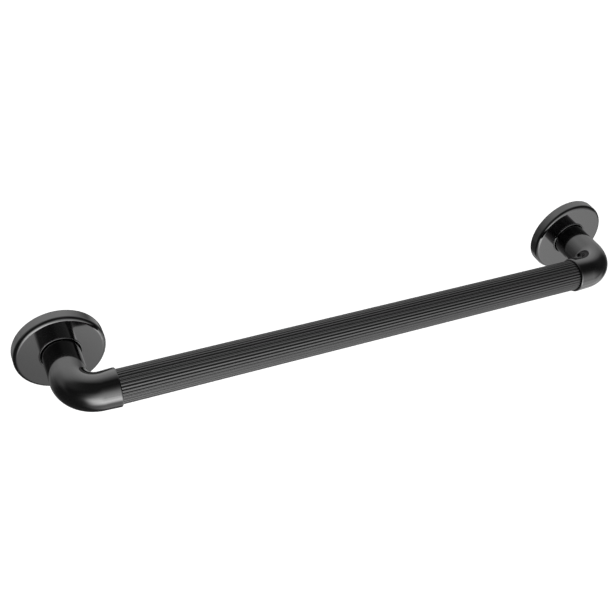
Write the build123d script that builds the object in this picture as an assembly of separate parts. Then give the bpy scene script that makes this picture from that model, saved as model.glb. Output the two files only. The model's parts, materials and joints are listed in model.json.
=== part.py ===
from build123d import *

import math
import os

# A wall-mounted grab bar: a fluted tube between two hollow cast elbows. Each elbow sits over the post of a
# wall plate, and a round cover on its stem hides the plate and its screws.
# Frame: the origin is on the wall, midway between the two stems. +X runs along the bar, to the right as
# seen from the room, +Y points into the wall and +Z is up. Sizes are in millimetres.

# Layout
STEM_SPACING = 600.0  # between the two stem axes
PROJECTION = 72.5  # wall to the axis of the bar

# Grip tube
TUBE_DIAMETER = 34.0  # over the ridges
TUBE_WALL = 3.0  # from the ridges to the bore
FLUTE_COUNT = 36
FLUTE_DEPTH = 0.5
RIDGE_RADIUS = 0.8  # rounding of a ridge's crest

# Elbow casting
COLLAR_WALL = 1.3  # of the collar around the tube, next to the bend
COLLAR_FLARE = 0.6  # the collar's radius grows by this much towards its open end
COLLAR_LENGTH = 15.5  # straight, from the bend to the open end
COLLAR_EDGE_RADIUS = 1.6
INNER_BEND_RADIUS = 6.0  # outside surface, in the crook of the bend
STEM_WALL = 3.9
SOCKET_DEPTH = 8.0  # length of tube inside the collar
SHOULDER = 6.0  # metal between the socket and the cavity of the bend
SPIGOT_LENGTH = 32.0  # inside the tube
SPIGOT_WALL = 3.9
SPIGOT_CHAMFER = 1.0

# Wall plate and its post
PLATE_THICKNESS = 4.0
PLATE_CHAMFER = 0.8
POST_LENGTH = 30.0  # in front of the plate
POST_WALL = 4.5
POST_CHAMFER = 1.0
WALL_SCREW_COUNT = 3
WALL_SCREW_EDGE = 10.0  # axis of a hole to the rim of the plate
WALL_SCREW_HOLE = 6.5
WALL_SCREW_COUNTERSINK = 12.0

# Cover
COVER_DIAMETER = 88.6
COVER_HEIGHT = 12.8
COVER_WALL = 1.8
COVER_EDGE_RADIUS = 3.9
COVER_BEAD_RADIUS = 0.8  # half-round bead round the hole, on the front face
COVER_LIFT = 0.2  # rim to wall, so that the plate meets the wall first
HUB_LENGTH = 7.3  # front face to the end of the hub
HUB_WALL = 3.5
O_RING_SECTION = 2.4
O_RING_SETBACK = 4.0  # front face to the middle of the ring

# Grub screw that locks the elbow on the post
GRUB_DIAMETER = 6.0
GRUB_LENGTH = 8.0
GRUB_POINT_DIAMETER = 4.0
GRUB_SETBACK = 8.0  # wall to the axis of the screw
GRUB_SINK = 0.3  # below the surface of the stem
GRUB_KEY = 3.0  # across the flats
GRUB_KEY_DEPTH = 2.2

# Countersunk screw that holds the tube on the spigot
TUBE_SCREW_DIAMETER = 4.0
TUBE_SCREW_HEAD = 7.6
TUBE_SCREW_LENGTH = 8.0
TUBE_SCREW_OFFSET = 9.0  # end of the collar to the axis of the screw
TUBE_SCREW_SINK = 0.6  # top of the head below the ridges
TUBE_SCREW_KEY = 2.5
TUBE_SCREW_KEY_DEPTH = 1.4

# Clearances, all on the radius
SLIP = 0.1  # spigot in the tube, post in the stem
SOCKET_CLEARANCE = 0.2  # tube in the collar
COVER_CLEARANCE = 0.8  # cover on the stem
PLATE_CLEARANCE = 3.5  # plate in the cover
RING_CLEARANCE = 0.05  # O-ring on the stem and in its groove
SCREW_CLEARANCE = 0.05  # screws in their threads and seats
POINT_CLEARANCE = 0.3  # point of the grub screw in the post

# Sizes that follow from the ones above
TUBE_RADIUS = TUBE_DIAMETER / 2
TUBE_BORE_RADIUS = TUBE_RADIUS - TUBE_WALL
SPIGOT_RADIUS = TUBE_BORE_RADIUS - SLIP
STEM_RADIUS = TUBE_RADIUS + SOCKET_CLEARANCE + COLLAR_WALL
STEM_BORE_RADIUS = STEM_RADIUS - STEM_WALL
POST_RADIUS = STEM_BORE_RADIUS - SLIP
PLATE_RADIUS = COVER_DIAMETER / 2 - COVER_WALL - PLATE_CLEARANCE
BEND_RADIUS = STEM_RADIUS + INNER_BEND_RADIUS  # of the centre line
COLLAR_REACH = BEND_RADIUS + COLLAR_LENGTH  # stem axis to the open end of the collar
TUBE_END = COLLAR_REACH - SOCKET_DEPTH  # stem axis to the end of the tube
TUBE_SCREW_X = COLLAR_REACH + TUBE_SCREW_OFFSET
COVER_BORE_RADIUS = STEM_RADIUS + COVER_CLEARANCE
O_RING_RADIUS = STEM_RADIUS + RING_CLEARANCE + O_RING_SECTION / 2
O_RING_Y = O_RING_SETBACK - COVER_HEIGHT

# One end is modelled with its stem on the Y axis and its collar along +X. These are places in that frame.
BAR_AXIS = Pos(0, -PROJECTION, 0) * Rot(0, 90, 0)  # local Z runs along the bar, away from the stem
OUT_OF_WALL = Rot(90, 0, 0)  # local Z points from the wall into the room
GRUB_SEAT = Pos(0, -GRUB_SETBACK, GRUB_SINK - STEM_RADIUS)  # under the stem, local Z up
TUBE_SCREW_SEAT = (  # on the side that faces the wall, local Z towards the axis of the bar
    Pos(TUBE_SCREW_X, TUBE_RADIUS - TUBE_SCREW_SINK - PROJECTION, 0) * Rot(90, 0, 0)
)
UP = (Align.CENTER, Align.CENTER, Align.MIN)


def rod(radius, length):
    """A cylinder that stands on its base, along local +Z."""
    return Cylinder(radius, length, align=UP)


def hexagon_key(across_flats, depth):
    """The cut for a hexagon key, from the base along local +Z."""
    return extrude(RegularPolygon(across_flats / 2, 6, major_radius=False), depth)


def polar(radius, degrees):
    angle = math.radians(degrees)
    return Vector(radius * math.cos(angle), radius * math.sin(angle))


def fluted_outline():
    """Ridges and grooves as arcs that run smoothly into each other."""
    pitch = 360 / FLUTE_COUNT
    root = TUBE_RADIUS - FLUTE_DEPTH
    ridge_centre = TUBE_RADIUS - RIDGE_RADIUS
    # The groove's radius makes its arc touch the ridge's arc on the line between their centres.
    across = ridge_centre * math.cos(math.radians(pitch / 2))
    groove_radius = (
        (RIDGE_RADIUS**2 - ridge_centre**2 - root**2 + 2 * root * across)
        / (2 * (root - across - RIDGE_RADIUS))
    )
    to_groove = polar(root + groove_radius, pitch / 2) - polar(ridge_centre, 0)
    meeting = polar(ridge_centre, 0) + to_groove.normalized() * RIDGE_RADIUS
    reach = meeting.length
    half_ridge = math.degrees(math.atan2(meeting.Y, meeting.X))
    arcs = []
    for flute in range(FLUTE_COUNT):
        middle = flute * pitch
        start, end = polar(reach, middle - half_ridge), polar(reach, middle + half_ridge)
        following = polar(reach, middle + pitch - half_ridge)
        arcs.append(ThreePointArc(start, polar(TUBE_RADIUS, middle), end))
        arcs.append(ThreePointArc(end, polar(root, middle + pitch / 2), following))
    return make_face(arcs)


def countersunk_body(clearance):
    """A countersunk screw from the top of its head along local +Z, grown by a clearance."""
    shank = TUBE_SCREW_DIAMETER / 2 + clearance
    head = TUBE_SCREW_HEAD / 2 + clearance
    cone = Cone(head, shank, head - shank, align=UP)
    return rod(shank, TUBE_SCREW_LENGTH) + cone


def grip_tube():
    length = STEM_SPACING - 2 * TUBE_END
    section = fluted_outline() - Circle(TUBE_BORE_RADIUS)
    tube = Pos(-length / 2, -PROJECTION, 0) * Rot(0, 90, 0) * extrude(section, length)
    seat = countersunk_body(SCREW_CLEARANCE)
    driver_way = Pos(0, 0, -TUBE_SCREW_SINK) * rod(TUBE_SCREW_HEAD / 2 + SCREW_CLEARANCE, TUBE_SCREW_SINK)
    cut = Pos(-STEM_SPACING / 2, 0, 0) * TUBE_SCREW_SEAT * (seat + driver_way)
    return tube - cut - mirror(cut, Plane.YZ)


def elbow():
    corner = (0, -PROJECTION, 0)
    foot = (0, -PLATE_THICKNESS, 0)
    line = FilletPolyline(foot, corner, (COLLAR_REACH, -PROJECTION, 0), radius=BEND_RADIUS)
    pipe = sweep(Plane(line @ 0, z_dir=line % 0) * Circle(STEM_RADIUS), line)
    flare = Cone(STEM_RADIUS, STEM_RADIUS + COLLAR_FLARE, COLLAR_LENGTH, align=UP)
    outside = pipe + BAR_AXIS * Pos(0, 0, BEND_RADIUS) * flare
    mouth = outside.faces().sort_by(Axis.X)[-1]
    outside = fillet(mouth.edges(), COLLAR_EDGE_RADIUS)
    cavity_line = FilletPolyline(
        foot, corner, (TUBE_END - SHOULDER, -PROJECTION, 0), radius=BEND_RADIUS
    )
    cavity = sweep(Plane(cavity_line @ 0, z_dir=cavity_line % 0) * Circle(STEM_BORE_RADIUS), cavity_line)
    socket = Pos(0, 0, TUBE_END) * rod(TUBE_RADIUS + SOCKET_CLEARANCE, SOCKET_DEPTH)
    spigot = Pos(0, 0, TUBE_END) * rod(SPIGOT_RADIUS, SPIGOT_LENGTH)
    tip = spigot.faces().sort_by(Axis.Z)[-1]
    spigot = chamfer(tip.edges(), SPIGOT_CHAMFER)
    spigot_bore = rod(SPIGOT_RADIUS - SPIGOT_WALL, SHOULDER + SPIGOT_LENGTH)
    spigot_core = Pos(0, 0, TUBE_END - SHOULDER) * spigot_bore
    body = outside - BAR_AXIS * socket + BAR_AXIS * spigot - cavity - BAR_AXIS * spigot_core
    grub_hole = GRUB_SEAT * Pos(0, 0, -GRUB_SINK) * rod(GRUB_DIAMETER / 2 + SCREW_CLEARANCE, GRUB_LENGTH)
    tube_screw_hole = TUBE_SCREW_SEAT * rod(TUBE_SCREW_DIAMETER / 2 + SCREW_CLEARANCE, TUBE_SCREW_LENGTH)
    return body - grub_hole - tube_screw_hole


def wall_plate():
    disc = rod(PLATE_RADIUS, PLATE_THICKNESS)
    disc = chamfer(disc.edges().sort_by(Axis.Z)[-1], PLATE_CHAMFER)
    depth = PLATE_THICKNESS + POST_LENGTH
    post = rod(POST_RADIUS, depth)
    post = chamfer(post.edges().sort_by(Axis.Z)[-1], POST_CHAMFER)
    plate = disc + post - rod(POST_RADIUS - POST_WALL, depth)
    hole = WALL_SCREW_HOLE / 2
    flare = WALL_SCREW_COUNTERSINK / 2 - hole
    countersink = Pos(0, 0, PLATE_THICKNESS - flare) * Cone(hole, hole + flare, flare, align=UP)
    wall_screw_hole = rod(hole, PLATE_THICKNESS) + countersink
    places = PolarLocations(PLATE_RADIUS - WALL_SCREW_EDGE, WALL_SCREW_COUNT, start_angle=90)
    plate = plate - [place * wall_screw_hole for place in places]
    point = GRUB_POINT_DIAMETER / 2 + POINT_CLEARANCE
    return OUT_OF_WALL * plate - GRUB_SEAT * rod(point, STEM_RADIUS)


def cover():
    """A turned cup: rim, flat face with a bead round its hole, and a hub with a groove for the O-ring."""
    rim, inside = COVER_DIAMETER / 2, COVER_DIAMETER / 2 - COVER_WALL
    hub = COVER_BORE_RADIUS + HUB_WALL
    front, back_of_face = -COVER_HEIGHT, COVER_WALL - COVER_HEIGHT
    hub_end = HUB_LENGTH - COVER_HEIGHT
    outline = Polyline(
        (COVER_BORE_RADIUS, front),
        (rim, front),
        (rim, -COVER_LIFT),
        (inside, -COVER_LIFT),
        (inside, back_of_face),
        (hub, back_of_face),
        (hub, hub_end),
        (COVER_BORE_RADIUS, hub_end),
        close=True,
    )
    profile = make_face(outline)
    corners = profile.vertices()
    profile = fillet(corners.sort_by_distance((rim, front))[0], COVER_EDGE_RADIUS)
    corner = profile.vertices().sort_by_distance((inside, back_of_face))[0]
    profile = fillet(corner, COVER_EDGE_RADIUS - COVER_WALL)
    bead = Pos(COVER_BORE_RADIUS + COVER_BEAD_RADIUS, front) * Circle(COVER_BEAD_RADIUS)
    groove_width = O_RING_SECTION + 2 * RING_CLEARANCE
    groove_depth = O_RING_RADIUS + O_RING_SECTION / 2 + RING_CLEARANCE
    groove = Pos(groove_depth / 2, O_RING_Y) * Rectangle(groove_depth, groove_width)
    return revolve(profile + bead - groove, Axis.Y)


def cover_o_ring():
    return Pos(0, O_RING_Y, 0) * OUT_OF_WALL * Torus(O_RING_RADIUS, O_RING_SECTION / 2)


def post_grub_screw():
    """A screw with a hexagon key and a plain point that enters the post."""
    threaded = STEM_RADIUS - GRUB_SINK - STEM_BORE_RADIUS
    body = rod(GRUB_DIAMETER / 2, threaded) + rod(GRUB_POINT_DIAMETER / 2, GRUB_LENGTH)
    return GRUB_SEAT * (body - hexagon_key(GRUB_KEY, GRUB_KEY_DEPTH))


def tube_screw():
    key = hexagon_key(TUBE_SCREW_KEY, TUBE_SCREW_KEY_DEPTH)
    return TUBE_SCREW_SEAT * (countersunk_body(0) - key)


END_PIECES = {
    "elbow": elbow,
    "wall_plate": wall_plate,
    "cover": cover,
    "cover_o_ring": cover_o_ring,
    "post_grub_screw": post_grub_screw,
    "tube_screw": tube_screw,
}

os.makedirs("parts", exist_ok=True)
export_step(grip_tube(), "parts/grip_tube.step")
for name, make in END_PIECES.items():
    left = Pos(-STEM_SPACING / 2, 0, 0) * make()
    export_step(left, f"parts/left_{name}.step")
    export_step(mirror(left, Plane.YZ), f"parts/right_{name}.step")
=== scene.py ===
import json
import math
from typing import NamedTuple

import bpy
from mathutils import Matrix, Vector

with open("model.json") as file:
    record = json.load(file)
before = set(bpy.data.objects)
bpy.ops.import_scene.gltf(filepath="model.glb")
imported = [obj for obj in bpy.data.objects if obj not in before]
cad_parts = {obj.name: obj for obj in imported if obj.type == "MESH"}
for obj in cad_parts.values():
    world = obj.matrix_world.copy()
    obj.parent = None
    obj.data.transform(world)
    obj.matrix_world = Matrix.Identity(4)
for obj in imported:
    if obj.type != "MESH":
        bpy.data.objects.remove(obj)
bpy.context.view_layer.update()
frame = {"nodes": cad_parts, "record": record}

# Camera, set from the photograph's outline
CAMERA_AIM = Vector((-0.03464, -0.00481, -0.02334))
CAMERA_DISTANCE = 0.98846
CAMERA_AZIMUTH = math.radians(-28.177)
CAMERA_ELEVATION = math.radians(41.428)
CAMERA_ROLL = math.radians(6.415)
CAMERA_LENS = 53.348  # millimetres
CAMERA_SENSOR = 36.0  # millimetres wide

# Studio
FLOOR_HEIGHT = -1.1
FLOOR_SIZE = 30.0
FLOOR_COLOUR = (0.85, 0.85, 0.85)
FLOOR_GLOW = 0.75  # light that makes the floor show as a plain white background
STUDIO_SHADE = 0.046  # brightness of the studio between its lights


class Panel(NamedTuple):
    """A soft-edged light of the studio, as seen from the bar."""

    azimuth: float  # degrees, 0 straight out from the wall, 90 to the right
    elevation: float
    turn: float  # degrees, about its own middle
    half_width: float  # sine of the angle from its middle to its edge
    half_height: float
    brightness: float
    crispness: float  # 1 fades out from the middle, 5 is even with a clear edge


PANELS = (
    Panel(-14.5, -12.2, 4, 0.326, 0.369, 3.18, 1.86),  # front softbox
    Panel(11, -28.4, 90, 0.193, 0.50, 1.64, 2.1),  # lower half of its scrim
    Panel(3, 5.5, -3, 0.56, 0.438, 1.33, 1.7),  # upper half of its scrim
    Panel(9.2, -0.5, 39.4, 0.575, 0.566, 1.40, 2.3),  # white card around the scrim
    Panel(-162, 34.5, -34, 0.761, 0.579, 0.526, 4.0),  # wide panel above the wall side
    Panel(-178.6, 33.7, 6.8, 0.65, 0.52, 1.15, 2.1),  # the bright middle of that panel
    Panel(42.5, -34, 14.4, 0.532, 0.236, 0.842, 4.0),  # strip of lit floor in front, on the right
    Panel(-120.6, 13.3, 66.3, 0.989, 0.348, 0.095, 3.0),  # wall on the left
    Panel(44.8, -63.9, 78.3, 0.464, 0.731, 0.603, 3.8),  # floor below the front
    Panel(123.5, 19.3, 87, 0.495, 0.217, 0.534, 1.5),  # tall strip behind the right end
    Panel(172, -22, 0, 0.6, 0.2, 0.4, 2.5),  # lit floor behind, towards the wall
)


class Value:
    """A shader socket that Python arithmetic can be written with."""

    def __init__(self, shader, socket):
        self.shader = shader
        self.socket = socket

    def math(self, operation, *others):
        sockets = dict(enumerate((self, *others)))
        return self.shader.node("ShaderNodeMath", {"operation": operation}, sockets)

    def __add__(self, other):
        return self.math("ADD", other)

    def __radd__(self, other):
        return self.math("ADD", other)

    def __mul__(self, other):
        return self.math("MULTIPLY", other)

    def __rmul__(self, other):
        return self.math("MULTIPLY", other)

    def __truediv__(self, other):
        return self.math("DIVIDE", other)

    def __pow__(self, other):
        return self.math("POWER", other)

    def clamped(self):
        return self.shader.node("ShaderNodeClamp", {}, {"Value": self})


class Shader:
    """The node tree of a material or the world."""

    def __init__(self, owner):
        owner.use_nodes = True
        self.tree = owner.node_tree
        self.tree.nodes.clear()

    def node(self, kind, settings, sockets, out=0):
        """Adds a node with its settings, feeds its sockets and returns one of its outputs."""
        made = self.tree.nodes.new(kind)
        for name, setting in settings.items():
            if name == "stops":
                self.set_stops(made.color_ramp, setting)
            else:
                setattr(made, name, setting)
        for name, value in sockets.items():
            if isinstance(value, Value):
                self.tree.links.new(value.socket, made.inputs[name])
            else:
                made.inputs[name].default_value = value
        return Value(self, made.outputs[out]) if made.outputs else None

    def set_stops(self, ramp, stops):
        while len(ramp.elements) < len(stops):
            ramp.elements.new(1.0)
        for element, (position, colour) in zip(ramp.elements, stops):
            element.position = position
            element.color = (*colour, 1.0)

    def place(self, stretch=(1, 1, 1)):
        """Object coordinates in metres, stretched along each axis."""
        coordinates = self.node("ShaderNodeTexCoord", {}, {}, "Object")
        return self.node("ShaderNodeMapping", {}, {"Vector": coordinates, "Scale": stretch})

    def noise(self, scale, detail=3.0, stretch=(1, 1, 1)):
        sockets = {"Vector": self.place(stretch), "Scale": scale, "Detail": detail}
        return self.node("ShaderNodeTexNoise", {}, sockets)

    def bump(self, height, strength, distance):
        sockets = {"Height": height, "Strength": strength, "Distance": distance}
        return self.node("ShaderNodeBump", {}, sockets)

    def surface(self, **sockets):
        """A Principled surface as the material's output. Underscores in names stand for spaces."""
        named = {name.replace("_", " "): value for name, value in sockets.items()}
        finish = self.node("ShaderNodeBsdfPrincipled", {}, named)
        self.node("ShaderNodeOutputMaterial", {}, {"Surface": finish})


def new_finish(name):
    material = bpy.data.materials.new(name)
    return material, Shader(material)


def gloss_black_lacquer():
    material, shader = new_finish("gloss_black_lacquer")
    smudge = shader.noise(45.0)
    peel = shader.noise(420.0, 2.0)
    shader.surface(
        Base_Color=(0.004, 0.004, 0.0042, 1),
        Roughness=0.06 + 0.10 * smudge,
        Coat_Weight=1.0,
        Coat_Roughness=0.03,
        Normal=shader.bump(peel, 0.01, 0.0002),
    )
    return material


def satin_black_anodised():
    material, shader = new_finish("satin_black_anodised")
    drawn = shader.noise(260.0, 4.0, (0.02, 1, 1))
    patch = shader.noise(30.0)
    shader.surface(
        Base_Color=(0.005, 0.005, 0.0052, 1),
        IOR=1.57,
        Roughness=0.16 + 0.05 * drawn + 0.03 * patch,
        Normal=shader.bump(drawn, 0.05, 0.0002),
    )
    return material


def bright_zinc():
    material, shader = new_finish("bright_zinc")
    cloud = shader.noise(60.0, 5.0)
    fine = shader.noise(900.0, 3.0)
    tint = shader.node(
        "ShaderNodeValToRGB",
        {"stops": [(0.35, (0.58, 0.60, 0.64)), (0.65, (0.66, 0.66, 0.62))]},
        {"Fac": cloud},
    )
    shader.surface(
        Base_Color=tint,
        Metallic=1.0,
        Roughness=0.34 + 0.18 * cloud + 0.06 * fine,
        Normal=shader.bump(fine, 0.06, 0.0003),
    )
    return material


def black_oxide_steel():
    material, shader = new_finish("black_oxide_steel")
    grain = shader.noise(1500.0, 4.0)
    shader.surface(
        Base_Color=(0.03, 0.03, 0.033, 1),
        Metallic=1.0,
        Roughness=0.35 + 0.2 * grain,
        Normal=shader.bump(grain, 0.1, 0.0002),
    )
    return material


def ring_rubber():
    material, shader = new_finish("ring_rubber")
    skin = shader.noise(2500.0, 3.0)
    shader.surface(
        Base_Color=(0.018, 0.018, 0.018, 1),
        Roughness=0.6 + 0.2 * skin,
        Normal=shader.bump(skin, 0.15, 0.0002),
    )
    return material


FINISHES = {
    "gloss_black": gloss_black_lacquer(),
    "satin_black": satin_black_anodised(),
    "zinc_steel": bright_zinc(),
    "screw_steel": black_oxide_steel(),
    "ring_rubber": ring_rubber(),
}


def finish_nodes():
    for part in frame["record"]["subparts"]:
        node = frame["nodes"][part["node"]]
        node.data.materials.clear()
        node.data.materials.append(FINISHES[part["material_slot"]])


def ray_share(shader, *kinds):
    """One for rays of the named kinds and nought for the others."""
    return sum(shader.node("ShaderNodeLightPath", {}, {}, f"Is {kind} Ray") for kind in kinds).clamped()


def panel_light(shader, direction, panel):
    """What one panel of the studio sends from a direction."""
    turn = Matrix.Rotation(math.radians(panel.azimuth), 3, "Z")
    tilt = Matrix.Rotation(math.radians(90 - panel.elevation), 3, "X")
    spin = Matrix.Rotation(math.radians(panel.turn), 3, "Z")
    axes = (turn @ tilt @ spin).transposed()
    across, along, facing = (
        shader.node("ShaderNodeVectorMath", {"operation": "DOT_PRODUCT"}, {0: direction, 1: axis}, "Value")
        for axis in axes
    )
    sides = ((across, panel.half_width), (along, panel.half_height))
    outward = sum((side / half).math("ABSOLUTE") ** (2 * panel.crispness) for side, half in sides)
    return panel.brightness * (-1 * outward).math("EXPONENT") * facing.math("GREATER_THAN", 0.0)


def studio_light(shader, direction):
    return sum(panel_light(shader, direction, panel) for panel in PANELS) + STUDIO_SHADE


def lay_floor():
    bpy.ops.object.select_all(action="DESELECT")
    bpy.ops.mesh.primitive_plane_add(size=FLOOR_SIZE)
    floor = bpy.context.object
    floor.name = "floor"
    floor.data.transform(Matrix.Translation((0, 0, FLOOR_HEIGHT)))
    material, shader = new_finish("pale_floor")
    plain = shader.node("ShaderNodeBsdfDiffuse", {}, {"Color": (*FLOOR_COLOUR, 1)})
    background = ray_share(shader, "Camera", "Transmission")
    white = shader.node("ShaderNodeEmission", {}, {"Strength": FLOOR_GLOW * background})
    pale = shader.node("ShaderNodeAddShader", {}, {0: plain, 1: white})
    spot = shader.node("ShaderNodeTexCoord", {}, {}, "Object")
    direction = shader.node("ShaderNodeVectorMath", {"operation": "NORMALIZE"}, {0: spot})
    lit = shader.node("ShaderNodeEmission", {}, {"Strength": studio_light(shader, direction)})
    mixed = shader.node("ShaderNodeMixShader", {}, {0: ray_share(shader, "Glossy"), 1: pale, 2: lit})
    shader.node("ShaderNodeOutputMaterial", {}, {"Surface": mixed})
    floor.data.materials.append(material)


def light_studio():
    """The world carries the studio's panels, and shows white where it is seen as the background."""
    world = bpy.data.worlds.new("studio")
    bpy.context.scene.world = world
    shader = Shader(world)
    direction = shader.node("ShaderNodeTexCoord", {}, {}, "Generated")
    lit = shader.node("ShaderNodeBackground", {}, {"Strength": studio_light(shader, direction)})
    white = shader.node("ShaderNodeBackground", {}, {"Color": (1, 1, 1, 1), "Strength": 1.0})
    background = ray_share(shader, "Camera", "Transmission")
    mixed = shader.node("ShaderNodeMixShader", {}, {0: background, 1: lit, 2: white})
    shader.node("ShaderNodeOutputWorld", {}, {"Surface": mixed})


def place_camera():
    data = bpy.data.cameras.new("camera")
    data.lens = CAMERA_LENS
    data.sensor_width = CAMERA_SENSOR
    camera = bpy.data.objects.new("camera", data)
    turn = Matrix.Rotation(CAMERA_AZIMUTH, 4, "Z")
    tilt = Matrix.Rotation(math.pi / 2 - CAMERA_ELEVATION, 4, "X")
    roll = Matrix.Rotation(CAMERA_ROLL, 4, "Z")
    pull_back = Matrix.Translation((0, 0, CAMERA_DISTANCE))
    camera.matrix_world = Matrix.Translation(CAMERA_AIM) @ turn @ tilt @ roll @ pull_back
    bpy.context.scene.collection.objects.link(camera)
    bpy.context.scene.camera = camera


finish_nodes()
lay_floor()
light_studio()
place_camera()
bpy.context.scene.view_settings.view_transform = "Standard"
